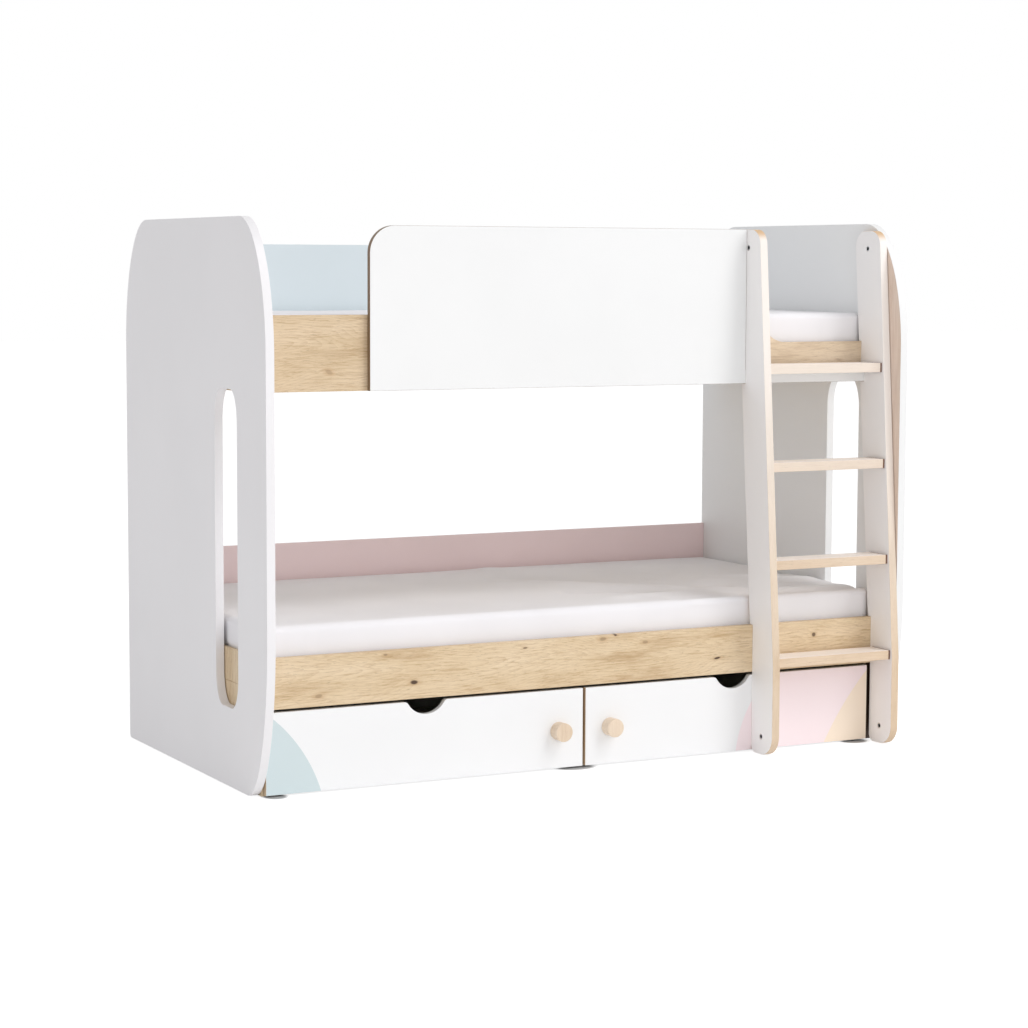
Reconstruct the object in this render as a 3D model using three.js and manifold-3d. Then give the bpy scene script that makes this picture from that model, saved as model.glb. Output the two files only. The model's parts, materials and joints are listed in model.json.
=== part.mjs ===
// Bunk bed with two bulged end panels, a leaning ladder and two drawers on castors.
// Millimetres, +Z up. +X runs along the bed from its left end, +Y from its front to the wall.
// Y is counted from the foremost point of the end panels, and the group is centred at the end.

import * as THREE from 'three';
import Module from 'manifold-3d';
import { mergeVertices } from 'three/addons/utils/BufferGeometryUtils.js';

const wasm = await Module();
wasm.setup();

// Air left between pieces that touch
const gap = 0.3;

// Boards
const bedLength = 2060;
const bedDepth = 1130;
const bedHeight = 1570;
const panelThickness = 25;
const railThickness = 22;
const backThickness = 16;
const frontThickness = 18;

// End panel outline and its slot, both with quarter ellipses at their corners
const topCornerDepth = 190;
const topCornerHeight = 375;
const footCornerDepth = 150;
const footCornerHeight = 450;
const heelRadius = 12;
const slotFront = 214;
const slotBack = 384;
const slotBottom = 222;
const slotTop = 1102;
const slotCornerDepth = 50;
const slotCornerHeight = 90;

// Lower bed
const lowerRailFront = 94;
const lowerRailBottom = 239.5;
const lowerRailTop = 380;
const baseBoardTop = 285;
const endRailTop = 378;
const endRailThickness = 12;
const endBoardGap = 2;
const pinkPanelTop = 574;
const lowerSlatBottom = 289;

// Upper bed
const guardFront = 150;
const upperRailFront = guardFront + frontThickness;
const upperRailBottom = 1095;
const upperRailTop = 1304;
const entryTop = 1215.5;
const entryStart = 618;
const entryCornerRadius = 86;
const upperEndRailTop = 1142;
const bluePanelTop = 1502;
const upperSlatBottom = 1127;
const bluePanelInset = 86;

// Guard panel: tall in front of the sleeper, a low strip across the entry
const guardLeft = -662.5;
const guardRight = 553.2;
const guardTop = 1549;
const guardStripTop = 1138;
const guardCornerRadius = 76;
const guardSmallRadius = 5;

// Slats and ledgers
const slatThickness = 15;
const slatWidth = 70;
const slatCount = 14;
const tapeWidth = 25;
const tapeThickness = 1.2;
const ledgerWidth = 25;
const ledgerHeight = 30;

// Mattresses
const mattressLength = 2000;
const mattressThickness = 163;
const lowerMattressWidth = 984;
const upperMattressWidth = 828;
const mattressEdgeRadius = 20;
const mattressCornerRadius = 28;
const mattressCrown = 7;
const mattressDrawIn = 4;
const mattressSqueeze = 11;

// Ladder: two leaning side boards with straight feet
const ladderLeft = 553.5;
const ladderRight = 978;
const ladderThickness = 25;
const ladderTop = 1548;
const ladderFootFront = -20;
const ladderBend = 270;
const ladderFrontLean = 0.079;
const ladderBackStart = 109.5;
const ladderBackLean = 0.0845;
const ladderTopRadius = 47;
const ladderToeRadius = 59;
const ladderHeelRadius = 22;
const treadTops = [1153, 865.5, 578, 290.5];
const treadThickness = 27.5;
const treadDepth = 88;
const treadSetback = 8;
const capRadius = 8.4;
const capDepth = 11;
const capPlaces = { top: [141, 1495], bottom: [40, 53] };

// Drawers: fronts wider than their boxes, standing a little left of the middle
const drawerRowMiddle = -15;
const drawerSplit = 9;
const drawerFrontWidth = 978;
const drawerFrontBottom = 5;
const drawerFrontTop = 231.5;
const drawerOverhang = 22;
const drawerBoxDepth = 845;
const drawerBoxTop = 201;
const drawerSideBottom = 41;
const drawerSideThickness = 15;
const drawerFloor = 47;
const drawerFloorThickness = 6;
const grooveDepth = 5;
const notchOffset = 502;
const notchRadius = 65;
const notchDepth = 37;
const notchShoulder = 12;
const knobOffset = 84;
const knobHeight = 113.5;
const knobRadius = 26.8;
const knobLength = 38;
const knobSpread = 0.5;

// Castors
const wheelRadius = 20;
const wheelWidth = 16;
const wheelBore = 3.4;
const axleRadius = 3;
const cheekThickness = 2;
const cheekRadius = 8;
const castorPlateLength = 44;
const castorPlateWidth = 26;
const castorInset = 70;

// Surfaces in the colours of the real boards
const white = { color: 0xf1f0f0, roughness: 0.45, metalness: 0 };
const oak = { color: 0xdec7a6, roughness: 0.6, metalness: 0 };
const paleOak = { color: 0xe9d3b8, roughness: 0.55, metalness: 0 };
const pink = { color: 0xe3cfcc, roughness: 0.5, metalness: 0 };
const blue = { color: 0xcfdfe3, roughness: 0.5, metalness: 0 };
const sheet = { color: 0xf2ecec, roughness: 0.9, metalness: 0 };
const pine = { color: 0xe2cda4, roughness: 0.7, metalness: 0 };
const grey = { color: 0xd9d9d9, roughness: 0.6, metalness: 0 };
const steel = { color: 0xb9babb, roughness: 0.35, metalness: 1 };
const darkRubber = { color: 0x35363a, roughness: 0.7, metalness: 0 };

const bed = new THREE.Group();

function place(name, geometry, look, x = 0, y = 0, z = 0) {
  const mesh = new THREE.Mesh(geometry, new THREE.MeshStandardMaterial(look));
  mesh.name = name;
  mesh.position.set(x, y, z);
  bed.add(mesh);
  return mesh;
}

// Solids

function toSolid(geometry) {
  const bare = geometry.clone();
  bare.deleteAttribute('normal');
  bare.deleteAttribute('uv');
  const merged = mergeVertices(bare, 1e-4);
  const vertProperties = Float32Array.from(merged.attributes.position.array);
  const triVerts = Uint32Array.from(merged.index.array);
  return new wasm.Manifold(new wasm.Mesh({ numProp: 3, vertProperties, triVerts }));
}

function toGeometry(solid) {
  const mesh = solid.getMesh();
  const geometry = new THREE.BufferGeometry();
  geometry.setAttribute('position', new THREE.BufferAttribute(mesh.vertProperties, 3));
  geometry.setIndex(new THREE.BufferAttribute(mesh.triVerts, 1));
  return geometry;
}

// Boards cut from an outline. An outline in Y and Z is thick along +X, one in X and Z along -Y.
const axisX = new THREE.Vector3(1, 0, 0);
const axisY = new THREE.Vector3(0, 1, 0);
const axisZ = new THREE.Vector3(0, 0, 1);
const drawnInYZ = new THREE.Matrix4().makeBasis(axisY, axisZ, axisX);
const drawnInXZ = new THREE.Matrix4().makeBasis(axisX, axisZ, axisY.clone().negate());

function cutBoard(shape, thickness, plane, curveSegments = 8) {
  const settings = { depth: thickness, bevelEnabled: false, curveSegments };
  return new THREE.ExtrudeGeometry(shape, settings).applyMatrix4(plane);
}

// A plain board between two corners
function plank(name, look, low, high) {
  const size = high.map((value, i) => value - low[i]);
  const middle = high.map((value, i) => (value + low[i]) / 2);
  return place(name, new THREE.BoxGeometry(...size), look, ...middle);
}

function blockAt(low, high) {
  const size = high.map((value, i) => value - low[i]);
  const middle = high.map((value, i) => (value + low[i]) / 2);
  return toSolid(new THREE.BoxGeometry(...size).translate(...middle));
}

// A round pin along X, centred on a point
function pinAlongX(radius, length, x, y, z, sides) {
  const pin = new THREE.CylinderGeometry(radius, radius, length, sides);
  return toSolid(pin.rotateZ(Math.PI / 2).translate(x, y, z));
}

// End panels

function endPanelShape() {
  const shape = new THREE.Shape();
  const shoulder = bedHeight - topCornerHeight;
  const quarter = Math.PI / 2;
  shape.moveTo(bedDepth - heelRadius, 0);
  shape.absarc(bedDepth - heelRadius, heelRadius, heelRadius, -quarter, 0, false);
  shape.absellipse(bedDepth - topCornerDepth, shoulder, topCornerDepth, topCornerHeight, 0, quarter, false);
  shape.absellipse(topCornerDepth, shoulder, topCornerDepth, topCornerHeight, quarter, Math.PI, false);
  shape.absellipse(
    footCornerDepth, footCornerHeight, footCornerDepth, footCornerHeight, Math.PI, 3 * quarter, false,
  );
  shape.closePath();

  const slot = new THREE.Path();
  const corners = [
    [slotBack - slotCornerDepth, slotTop - slotCornerHeight],
    [slotFront + slotCornerDepth, slotTop - slotCornerHeight],
    [slotFront + slotCornerDepth, slotBottom + slotCornerHeight],
    [slotBack - slotCornerDepth, slotBottom + slotCornerHeight],
  ];
  corners.forEach(([y, z], i) => {
    slot.absellipse(y, z, slotCornerDepth, slotCornerHeight, i * quarter, (i + 1) * quarter, false);
  });
  slot.closePath();
  shape.holes.push(slot);
  return shape;
}

const halfLength = bedLength / 2;
const innerEnd = halfLength - panelThickness;
const endPanel = cutBoard(endPanelShape(), panelThickness, drawnInYZ, 7);
place('end_panel_left', endPanel, white, -halfLength);
place('end_panel_right', endPanel, white, innerEnd);

// Lower bed frame

const backFront = bedDepth - backThickness;
const bluePanelBack = bedDepth - bluePanelInset;
const bluePanelFront = bluePanelBack - backThickness;
const lowerRailBack = lowerRailFront + railThickness;
const upperRailBack = upperRailFront + railThickness;
const railEnd = innerEnd - gap;
const endBoardOuter = innerEnd - endBoardGap;
const endBoardInner = endBoardOuter - panelThickness;

plank('lower_front_rail', oak,
  [-railEnd, lowerRailFront, lowerRailBottom], [railEnd, lowerRailBack, lowerRailTop]);
plank('lower_back_panel', pink,
  [-railEnd, backFront, 0], [railEnd, bedDepth, pinkPanelTop]);

for (const [side, sign] of [['left', -1], ['right', 1]]) {
  const acrossBed = (name, thickness, low, high) => {
    const ends = [sign * endBoardOuter, sign * (endBoardOuter - thickness)].sort((a, b) => a - b);
    plank(`${name}_${side}`, oak, [ends[0], low[0], low[1]], [ends[1], high[0], high[1]]);
  };
  acrossBed('base_board', panelThickness,
    [lowerRailBack + gap, 0], [backFront - gap, baseBoardTop]);
  acrossBed('lower_end_rail', endRailThickness,
    [lowerRailBack + gap, baseBoardTop + gap], [backFront - gap, endRailTop]);
  acrossBed('upper_end_rail', panelThickness,
    [upperRailBack + gap, upperRailBottom], [bluePanelFront - gap, upperEndRailTop]);
}

// Ledgers along a front rail and a back panel, and the slats that lie on them

function ledgers(level, railBack, panelFront, slatBottom) {
  const end = endBoardInner - gap;
  const low = slatBottom - ledgerHeight;
  const high = slatBottom - gap;
  plank(`${level}_front_ledger`, pine,
    [-end, railBack + gap, low], [end, railBack + ledgerWidth, high]);
  plank(`${level}_back_ledger`, pine,
    [-end, panelFront - ledgerWidth, low], [end, panelFront - gap, high]);
}

function slatBase(length, depth) {
  const halfSlat = slatWidth / 2;
  const halfTape = tapeWidth / 2;
  const pitch = (length - slatWidth) / (slatCount - 1);
  let solid = null;
  for (let i = 0; i < slatCount; i += 1) {
    const x = -length / 2 + halfSlat + i * pitch;
    const slat = blockAt([x - halfSlat, 0, 0], [x + halfSlat, depth, slatThickness]);
    solid = solid ? solid.add(slat) : slat;
  }
  for (const y of [depth * 0.22, depth * 0.78]) {
    const end = length / 2 - halfSlat;
    const tape = blockAt(
      [-end, y - halfTape, slatThickness - tapeThickness], [end, y + halfTape, slatThickness + tapeThickness]);
    solid = solid.add(tape);
  }
  return toGeometry(solid);
}

// A mattress is a stack of rounded outlines. It draws in between its corners, its top is crowned,
// and its ends are pressed in a little up to the height of the rails that hold them.

function mattressOutline(length, width, inset) {
  const points = [];
  const radius = Math.max(mattressCornerRadius - inset, 6);
  const cornerSteps = 4;
  const sideSteps = { x: 10, y: 6 };
  const halfX = length / 2 - inset;
  const halfY = width / 2 - inset;
  const corners = [[1, 1, 0], [-1, 1, 1], [-1, -1, 2], [1, -1, 3]];
  for (const [signX, signY, quarter] of corners) {
    for (let i = 0; i <= cornerSteps; i += 1) {
      const angle = (quarter + i / cornerSteps) * Math.PI / 2;
      const x = signX * (halfX - radius) + radius * Math.cos(angle);
      const y = signY * (halfY - radius) + radius * Math.sin(angle);
      points.push([x, y]);
    }
    const along = quarter % 2 === 0 ? 'x' : 'y';
    const steps = sideSteps[along];
    const start = points[points.length - 1];
    const end = along === 'x' ? [-start[0], start[1]] : [start[0], -start[1]];
    for (let i = 1; i < steps; i += 1) {
      const t = i / steps;
      const pull = mattressDrawIn * Math.sin(Math.PI * t);
      const x = start[0] + (end[0] - start[0]) * t;
      const y = start[1] + (end[1] - start[1]) * t;
      points.push(along === 'x' ? [x, y - Math.sign(y) * pull] : [x - Math.sign(x) * pull, y]);
    }
  }
  return points;
}

function mattress(length, width, squeezeTop) {
  const edge = mattressEdgeRadius;
  const rings = [];
  const edgeSteps = 4;
  const lowCrown = 1;
  const innerInsets = [0.12, 0.27, 0.42];
  for (const share of [...innerInsets].reverse()) {
    rings.push([share * width, lowCrown * (1 - share), 0]);
  }
  for (let i = 0; i <= edgeSteps; i += 1) {
    const angle = i / edgeSteps * Math.PI / 2;
    rings.push([edge * (1 - Math.sin(angle)), lowCrown + edge * (1 - Math.cos(angle)), 1]);
  }
  if (squeezeTop > 0) {
    rings.push([0, squeezeTop, 1], [0, squeezeTop + mattressSqueeze, 0.2]);
  }
  const top = mattressThickness - mattressCrown;
  for (let i = 0; i <= edgeSteps; i += 1) {
    const angle = i / edgeSteps * Math.PI / 2;
    rings.push([edge * (1 - Math.cos(angle)), top - edge * (1 - Math.sin(angle)), 0]);
  }
  for (const share of innerInsets) {
    const rise = mattressCrown * Math.sin(share / 0.5 * Math.PI / 2);
    rings.push([share * width, top + rise, 0]);
  }

  const positions = [];
  const index = [];
  const press = squeezeTop > 0 ? mattressSqueeze : 0;
  const loops = rings.map(([inset, z, pressed]) => {
    const outline = mattressOutline(length - 2 * press * pressed, width, inset);
    return outline.map(([x, y]) => [x, y, z]);
  });
  for (const loop of loops) {
    for (const point of loop) {
      positions.push(...point);
    }
  }
  const count = loops[0].length;
  for (let ring = 0; ring + 1 < loops.length; ring += 1) {
    for (let i = 0; i < count; i += 1) {
      const a = ring * count + i;
      const b = ring * count + (i + 1) % count;
      index.push(a, b, b + count, a, b + count, a + count);
    }
  }
  const lowCentre = positions.length / 3;
  positions.push(0, 0, 0);
  const highCentre = lowCentre + 1;
  positions.push(0, 0, mattressThickness);
  const lastRing = (loops.length - 1) * count;
  for (let i = 0; i < count; i += 1) {
    const next = (i + 1) % count;
    index.push(lowCentre, next, i);
    index.push(highCentre, lastRing + i, lastRing + next);
  }
  const geometry = new THREE.BufferGeometry();
  geometry.setAttribute('position', new THREE.Float32BufferAttribute(positions, 3));
  geometry.setIndex(index);
  return geometry;
}

function sleepingPlace(level, railBack, panelFront, slatBottom, endRailHeight, width) {
  ledgers(level, railBack, panelFront, slatBottom);
  const clear = 1.5;
  const depth = panelFront - railBack - 2 * clear;
  const slats = slatBase(2 * endBoardInner - slatWidth, depth);
  place(`${level}_slat_base`, slats, pine, 0, railBack + clear, slatBottom);
  const middle = (railBack + panelFront) / 2;
  const underside = slatBottom + slatThickness + tapeThickness + gap;
  const squeezeTop = endRailHeight - underside;
  place(`${level}_mattress`, mattress(mattressLength, width, squeezeTop), sheet, 0, middle, underside);
}

sleepingPlace('lower', lowerRailBack, backFront, lowerSlatBottom, endRailTop, lowerMattressWidth);

// Upper bed frame

function upperRailShape() {
  const shape = new THREE.Shape();
  shape.moveTo(-railEnd, upperRailBottom);
  shape.lineTo(railEnd, upperRailBottom);
  shape.lineTo(railEnd, entryTop);
  shape.lineTo(entryStart + entryCornerRadius, entryTop);
  shape.absarc(
    entryStart + entryCornerRadius, entryTop + entryCornerRadius, entryCornerRadius,
    -Math.PI / 2, -Math.PI, true,
  );
  shape.lineTo(entryStart, upperRailTop);
  shape.lineTo(-railEnd, upperRailTop);
  shape.closePath();
  return shape;
}

place('upper_front_rail', cutBoard(upperRailShape(), railThickness, drawnInXZ), oak, 0, upperRailBack);
plank('upper_back_panel', blue,
  [-railEnd, bluePanelFront, upperRailBottom], [railEnd, bluePanelBack, bluePanelTop]);
sleepingPlace('upper', upperRailBack, bluePanelFront, upperSlatBottom, upperEndRailTop, upperMattressWidth);

function guardShape() {
  const shape = new THREE.Shape();
  const quarter = Math.PI / 2;
  shape.moveTo(guardLeft, upperRailBottom);
  shape.lineTo(railEnd, upperRailBottom);
  shape.lineTo(railEnd, guardStripTop);
  shape.lineTo(guardRight, guardStripTop);
  shape.absarc(guardRight - guardSmallRadius, guardTop - guardSmallRadius, guardSmallRadius, 0, quarter, false);
  shape.absarc(
    guardLeft + guardCornerRadius, guardTop - guardCornerRadius, guardCornerRadius, quarter, Math.PI, false,
  );
  shape.closePath();
  return shape;
}

const guardThickness = frontThickness - gap;
place('guard_panel', cutBoard(guardShape(), guardThickness, drawnInXZ), white, 0, guardFront + guardThickness);

// Ladder

function ladderFrontAt(z) {
  return ladderFootFront + Math.max(0, z - ladderBend) * ladderFrontLean;
}

function ladderBackAt(z) {
  return ladderBackStart + (z - lowerRailTop) * ladderBackLean;
}

// The side board leans back, stands straight against the lower rail, and is cut out round the
// upper rail, whose top it rests on.
function ladderSideShape(railTop) {
  const shape = new THREE.Shape();
  const quarter = Math.PI / 2;
  const straightBack = lowerRailFront - gap;
  const cutBottom = upperRailBottom - gap;
  const stripBack = guardFront - gap;
  const railBackCut = upperRailFront - gap;
  const topFront = ladderFrontAt(ladderTop - ladderTopRadius) + ladderTopRadius;
  const topBack = ladderBackAt(ladderTop - ladderTopRadius) - ladderTopRadius;
  shape.moveTo(ladderFootFront + ladderToeRadius, 0);
  shape.absarc(straightBack - ladderHeelRadius, ladderHeelRadius, ladderHeelRadius, -quarter, 0, false);
  shape.lineTo(straightBack, lowerRailTop + gap);
  shape.lineTo(ladderBackAt(lowerRailTop), lowerRailTop + gap);
  shape.lineTo(ladderBackAt(cutBottom), cutBottom);
  shape.lineTo(stripBack, cutBottom);
  shape.lineTo(stripBack, guardStripTop + gap);
  shape.lineTo(railBackCut, guardStripTop + gap);
  shape.lineTo(railBackCut, railTop + gap);
  shape.lineTo(ladderBackAt(railTop), railTop + gap);
  shape.absarc(topBack, ladderTop - ladderTopRadius, ladderTopRadius, 0, quarter, false);
  shape.absarc(topFront, ladderTop - ladderTopRadius, ladderTopRadius, quarter, Math.PI, false);
  shape.lineTo(ladderFootFront, ladderBend);
  shape.absarc(
    ladderFootFront + ladderToeRadius, ladderToeRadius, ladderToeRadius, Math.PI, 3 * quarter, false,
  );
  shape.closePath();
  return shape;
}

const socketClearance = 0.4;

function ladderSide(railTop) {
  let solid = toSolid(cutBoard(ladderSideShape(railTop), ladderThickness, drawnInYZ, 7));
  const reach = capDepth + socketClearance;
  for (const [y, z] of Object.values(capPlaces)) {
    solid = solid.subtract(pinAlongX(capRadius + socketClearance, 2 * reach, 0, y, z, 12));
  }
  return toGeometry(solid);
}

// A connector cap sits in its socket flush with the board, with a dished face
function connectorCap() {
  const dishRadius = 5.6;
  const dishDepth = 3;
  const profile = [
    new THREE.Vector2(0, 0),
    new THREE.Vector2(capRadius, 0),
    new THREE.Vector2(capRadius, capDepth),
    new THREE.Vector2(dishRadius, capDepth),
    new THREE.Vector2(dishRadius * 0.6, capDepth - dishDepth),
    new THREE.Vector2(0, capDepth - dishDepth),
  ];
  return new THREE.LatheGeometry(profile, 12).rotateZ(Math.PI / 2);
}

place('ladder_side_left', ladderSide(upperRailTop), white, ladderLeft);
place('ladder_side_right', ladderSide(entryTop), white, ladderRight);

const cap = connectorCap();
for (const [side, x] of [['left', ladderLeft], ['right', ladderRight]]) {
  for (const [end, [y, z]] of Object.entries(capPlaces)) {
    place(`connector_cap_${side}_${end}`, cap, steel, x + capDepth, y, z);
  }
}

treadTops.forEach((top, i) => {
  const front = ladderFrontAt(top) + treadSetback;
  plank(`ladder_tread_${i + 1}`, paleOak,
    [ladderLeft + ladderThickness + gap, front, top - treadThickness],
    [ladderRight - gap, front + treadDepth, top]);
});

// Drawers

function drawerFrontShape(notchX) {
  const shape = new THREE.Shape();
  const half = drawerFrontWidth / 2;
  const centre = drawerFrontTop - notchDepth + notchRadius;
  const rise = notchRadius - notchDepth + notchShoulder * 0.5;
  const swing = Math.asin(rise / notchRadius);
  const lip = Math.cos(swing) * notchRadius;
  const lipHeight = centre - rise;
  shape.moveTo(-half, drawerFrontBottom);
  shape.lineTo(half, drawerFrontBottom);
  shape.lineTo(half, drawerFrontTop);
  shape.lineTo(notchX + lip + notchShoulder, drawerFrontTop);
  shape.quadraticCurveTo(
    notchX + lip + notchShoulder * 0.3, drawerFrontTop, notchX + lip, lipHeight,
  );
  shape.absarc(notchX, centre, notchRadius, -swing, -Math.PI + swing, true);
  shape.quadraticCurveTo(
    notchX - lip - notchShoulder * 0.3, drawerFrontTop, notchX - lip - notchShoulder, drawerFrontTop,
  );
  shape.lineTo(-half, drawerFrontTop);
  shape.closePath();
  return shape;
}

// A side board with the groove that holds the bottom, drawn across and thick along the drawer
function drawerSideShape(sign) {
  const shape = new THREE.Shape();
  const slit = drawerFloor - gap;
  const slitTop = drawerFloor + drawerFloorThickness + gap;
  const inner = sign * drawerSideThickness;
  const groove = sign * (drawerSideThickness - grooveDepth);
  shape.moveTo(0, drawerSideBottom);
  shape.lineTo(inner, drawerSideBottom);
  shape.lineTo(inner, slit);
  shape.lineTo(groove, slit);
  shape.lineTo(groove, slitTop);
  shape.lineTo(inner, slitTop);
  shape.lineTo(inner, drawerBoxTop);
  shape.lineTo(0, drawerBoxTop);
  shape.closePath();
  return shape;
}

// A turned knob, a little narrower at the front board, with an eased edge round its face
function knob() {
  const profile = new THREE.Path();
  const base = knobRadius - knobSpread;
  const round = 3;
  profile.moveTo(0, 0);
  profile.lineTo(base, 0);
  profile.quadraticCurveTo(base, knobLength * 0.45, knobRadius, knobLength * 0.65);
  profile.lineTo(knobRadius, knobLength - round);
  profile.quadraticCurveTo(knobRadius, knobLength, knobRadius - round, knobLength);
  profile.lineTo(0, knobLength + 1);
  return new THREE.LatheGeometry(profile.getPoints(4), 24).rotateX(Math.PI);
}

function wheel() {
  const half = wheelWidth / 2;
  const rim = 3;
  const hub = 8;
  const dish = 3;
  const profile = [
    new THREE.Vector2(wheelBore, -half),
    new THREE.Vector2(hub, -half),
    new THREE.Vector2(hub + 2, -half + dish),
    new THREE.Vector2(wheelRadius - rim - 2, -half + dish),
    new THREE.Vector2(wheelRadius - rim, -half),
    new THREE.Vector2(wheelRadius, -half + rim),
    new THREE.Vector2(wheelRadius, half - rim),
    new THREE.Vector2(wheelRadius - rim, half),
    new THREE.Vector2(wheelBore, half),
    new THREE.Vector2(wheelBore, -half),
  ];
  return new THREE.LatheGeometry(profile, 16).rotateZ(Math.PI / 2);
}

// A bracket holds its wheel between two cheeks on an axle, under a plate
function castorBracket() {
  const plateTop = drawerFloor - gap;
  const cheekX = wheelWidth / 2 + 1;
  const cheek = new THREE.Shape();
  const flare = castorPlateLength / 2 - 4;
  cheek.moveTo(-flare, plateTop - cheekThickness / 2);
  cheek.absarc(0, wheelRadius, cheekRadius, Math.PI * 1.1, Math.PI * 1.9, false);
  cheek.lineTo(flare, plateTop - cheekThickness / 2);
  cheek.closePath();
  const halfWidth = castorPlateWidth / 2;
  const halfLong = castorPlateLength / 2;
  let solid = blockAt([-halfWidth, -halfLong, plateTop - cheekThickness], [halfWidth, halfLong, plateTop]);
  for (const x of [-cheekX - cheekThickness, cheekX]) {
    const plate = cutBoard(cheek, cheekThickness, drawnInYZ, 3).translate(x, 0, 0);
    solid = solid.add(toSolid(plate));
  }
  solid = solid.add(pinAlongX(axleRadius, 2 * (cheekX + cheekThickness) + 1, 0, 0, wheelRadius, 10));
  return toGeometry(solid);
}

function drawer(side, sign) {
  const middle = drawerRowMiddle + sign * (drawerFrontWidth + drawerSplit) / 2;
  const front = lowerRailFront;
  const boxFront = front + frontThickness + gap;
  const boxBack = boxFront + drawerBoxDepth;
  const halfBox = drawerFrontWidth / 2 - drawerOverhang;
  const inside = halfBox - drawerSideThickness;
  const name = `drawer_${side}`;

  const notchX = drawerRowMiddle + sign * notchOffset - middle;
  place(`${name}_front`, cutBoard(drawerFrontShape(notchX), frontThickness, drawnInXZ, 10), white,
    middle, front + frontThickness);
  place(`${name}_side_left`, cutBoard(drawerSideShape(1), drawerBoxDepth, drawnInXZ), white,
    middle - halfBox, boxBack);
  place(`${name}_side_right`, cutBoard(drawerSideShape(-1), drawerBoxDepth, drawnInXZ), white,
    middle + halfBox, boxBack);
  plank(`${name}_back`, white,
    [middle - inside + gap, boxBack - drawerSideThickness, drawerFloor + drawerFloorThickness + gap],
    [middle + inside - gap, boxBack, drawerBoxTop]);
  const tongue = inside + grooveDepth - gap;
  plank(`${name}_bottom`, grey,
    [middle - tongue, boxFront, drawerFloor],
    [middle + tongue, boxBack, drawerFloor + drawerFloorThickness]);
  const knobX = drawerRowMiddle + sign * knobOffset;
  place(`${name}_knob`, knob(), paleOak, knobX, front - gap, knobHeight);

  const bracket = castorBracket();
  const tyre = wheel();
  for (const [end, y] of [['front', boxFront + castorInset], ['back', boxBack - castorInset]]) {
    for (const [hand, x] of [['left', middle - halfBox + castorInset], ['right', middle + halfBox - castorInset]]) {
      place(`${name}_bracket_${end}_${hand}`, bracket, steel, x, y);
      place(`${name}_wheel_${end}_${hand}`, tyre, darkRubber, x, y, wheelRadius);
    }
  }
}

drawer('left', -1);
drawer('right', 1);

// The origin is at the middle of the footprint, on the floor
bed.position.y = -(bedDepth + ladderFootFront) / 2;
bed.updateMatrixWorld(true);

export default bed;
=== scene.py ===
"""Looks of the bunk bed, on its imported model. Metres, +X towards the ladder end, +Y to the wall, +Z up."""

import json
import math

import bpy
from mathutils import Matrix, Vector, geometry, noise

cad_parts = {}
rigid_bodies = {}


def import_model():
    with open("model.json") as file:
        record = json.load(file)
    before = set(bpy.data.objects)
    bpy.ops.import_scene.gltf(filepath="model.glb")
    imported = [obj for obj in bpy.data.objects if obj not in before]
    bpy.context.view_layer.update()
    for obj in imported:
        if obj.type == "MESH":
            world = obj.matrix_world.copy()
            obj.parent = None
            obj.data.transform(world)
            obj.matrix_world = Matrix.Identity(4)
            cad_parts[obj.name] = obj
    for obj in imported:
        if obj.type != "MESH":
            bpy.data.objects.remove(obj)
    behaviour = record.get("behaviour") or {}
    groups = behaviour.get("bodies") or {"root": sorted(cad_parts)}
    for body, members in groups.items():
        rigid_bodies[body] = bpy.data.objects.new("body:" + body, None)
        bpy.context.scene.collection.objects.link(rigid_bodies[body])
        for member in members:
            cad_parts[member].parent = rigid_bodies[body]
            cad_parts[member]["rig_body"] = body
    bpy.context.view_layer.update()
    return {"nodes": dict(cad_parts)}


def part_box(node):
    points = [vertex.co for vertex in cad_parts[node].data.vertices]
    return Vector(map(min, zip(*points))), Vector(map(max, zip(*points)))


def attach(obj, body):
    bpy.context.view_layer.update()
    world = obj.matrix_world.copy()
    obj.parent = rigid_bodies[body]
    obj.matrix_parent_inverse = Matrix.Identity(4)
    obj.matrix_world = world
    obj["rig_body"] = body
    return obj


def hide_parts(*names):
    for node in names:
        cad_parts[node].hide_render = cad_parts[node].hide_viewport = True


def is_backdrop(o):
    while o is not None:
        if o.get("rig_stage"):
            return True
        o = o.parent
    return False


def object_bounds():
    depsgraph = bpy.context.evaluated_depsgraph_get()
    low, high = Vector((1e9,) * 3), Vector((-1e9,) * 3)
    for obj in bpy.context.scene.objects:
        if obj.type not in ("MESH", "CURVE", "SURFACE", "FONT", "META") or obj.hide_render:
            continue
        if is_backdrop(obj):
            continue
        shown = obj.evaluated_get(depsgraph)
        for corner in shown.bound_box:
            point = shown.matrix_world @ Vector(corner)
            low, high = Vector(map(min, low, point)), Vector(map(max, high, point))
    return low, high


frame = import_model()
nodes = frame["nodes"]

# The end panels' foremost point, from which the outlines below count their depth
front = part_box("end_panel_left")[0].y
# The air between two pieces that meet, and the eased edge of a board
gap = 0.0003
ease = 0.0012


# Node helpers


def colour(red, green, blue):
    """A colour written as it shows on a screen, for a shader."""

    def linear(value):
        share = value / 255
        return share / 12.92 if share <= 0.04045 else ((share + 0.055) / 1.055) ** 2.4

    return linear(red), linear(green), linear(blue), 1.0


def darker(shade, share):
    """A shade with a share of its light."""
    return tuple(channel * share for channel in shade[:3]) + (1.0,)


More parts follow.
